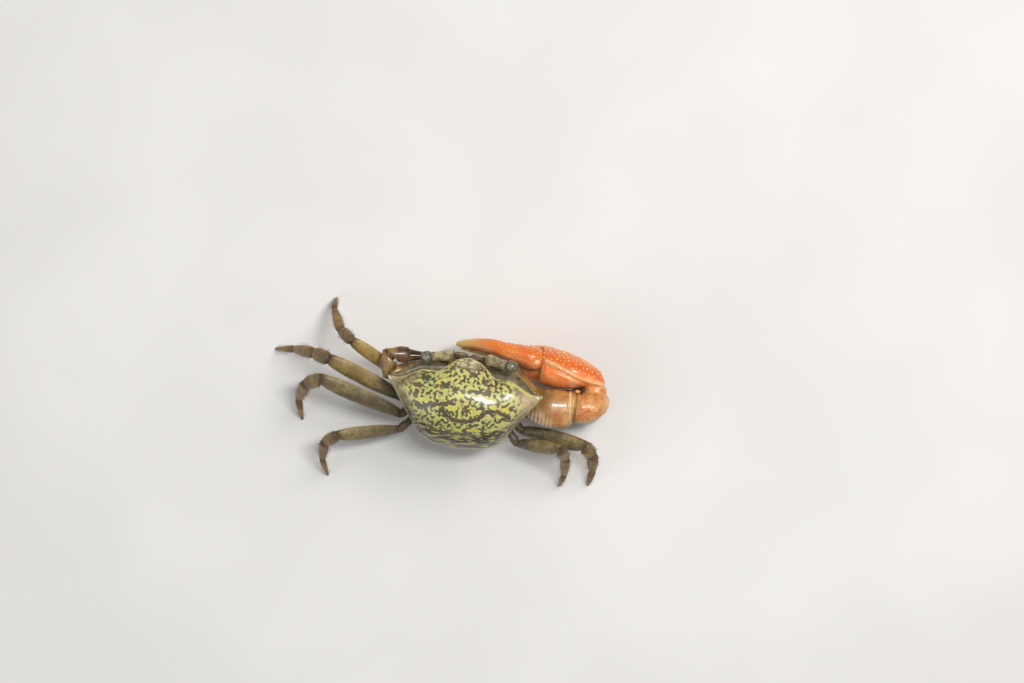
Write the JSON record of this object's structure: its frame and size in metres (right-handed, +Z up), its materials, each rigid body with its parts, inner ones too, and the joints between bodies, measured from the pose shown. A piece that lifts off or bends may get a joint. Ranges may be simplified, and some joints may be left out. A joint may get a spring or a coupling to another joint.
{
  "type": "fiddler crab",
  "caption": "Life-size male fiddler crab standing on its walking legs, its great claw folded across the front of the shell.",
  "frame": {"origin": "on the floor, under the middle of the model's own bounding box", "axes": "+Z up, +X towards the crab's left, +Y towards its rear: the crab faces -Y"},
  "size_m": [0.0442, 0.0234, 0.0149],
  "materials": {
    "carapace": "wet shell, yellow-green patches in a black-brown network",
    "underside": "smooth damp shell, cream to tan",
    "great_claw": "wet granular shell, orange with cream tips",
    "great_claw_arm": "wet shell, orange-brown with cream ridges",
    "feeding_claw": "wet shell, red-brown",
    "leg": "damp translucent shell, olive-brown with dark mottling",
    "eyestalk": "smooth damp shell, olive-brown",
    "eye": "glossy cornea, grey-green",
    "mouthparts": "smooth damp shell, tan",
    "feeler": "thin jointed feeler, brown"
  },
  "bodies": {
    "root": {"carapace": "carapace", "sternum": "underside", "abdomen": "underside", "eyestalk_left": "eyestalk", "eye_left": "eye", "maxilliped_left": "mouthparts", "antenna_left": "feeler", "eyestalk_right": "eyestalk", "eye_right": "eye", "maxilliped_right": "mouthparts", "antenna_right": "feeler", "major_claw_arm": "great_claw_arm", "major_claw_wrist": "great_claw_arm", "major_claw_palm": "great_claw", "major_claw_finger": "great_claw", "minor_claw_arm": "feeding_claw", "minor_claw_wrist": "feeding_claw", "minor_claw_palm": "feeding_claw", "minor_claw_finger": "feeding_claw", "leg_left_1_hip": "leg", "leg_left_1_merus": "leg", "leg_left_1_carpus": "leg", "leg_left_1_propodus": "leg", "leg_left_1_dactyl": "leg", "leg_left_2_hip": "leg", "leg_left_2_merus": "leg", "leg_left_2_carpus": "leg", "leg_left_2_propodus": "leg", "leg_left_2_dactyl": "leg", "leg_left_3_hip": "leg", "leg_left_3_merus": "leg", "leg_left_3_carpus": "leg", "leg_left_3_propodus": "leg", "leg_left_3_dactyl": "leg", "leg_left_4_hip": "leg", "leg_left_4_merus": "leg", "leg_left_4_carpus": "leg", "leg_left_4_propodus": "leg", "leg_left_4_dactyl": "leg", "leg_right_1_hip": "leg", "leg_right_1_merus": "leg", "leg_right_1_carpus": "leg", "leg_right_1_propodus": "leg", "leg_right_1_dactyl": "leg", "leg_right_2_hip": "leg", "leg_right_2_merus": "leg", "leg_right_2_carpus": "leg", "leg_right_2_propodus": "leg", "leg_right_2_dactyl": "leg", "leg_right_3_hip": "leg", "leg_right_3_merus": "leg", "leg_right_3_carpus": "leg", "leg_right_3_propodus": "leg", "leg_right_3_dactyl": "leg", "leg_right_4_hip": "leg", "leg_right_4_merus": "leg", "leg_right_4_carpus": "leg", "leg_right_4_propodus": "leg", "leg_right_4_dactyl": "leg"}
  },
  "joints": []
}
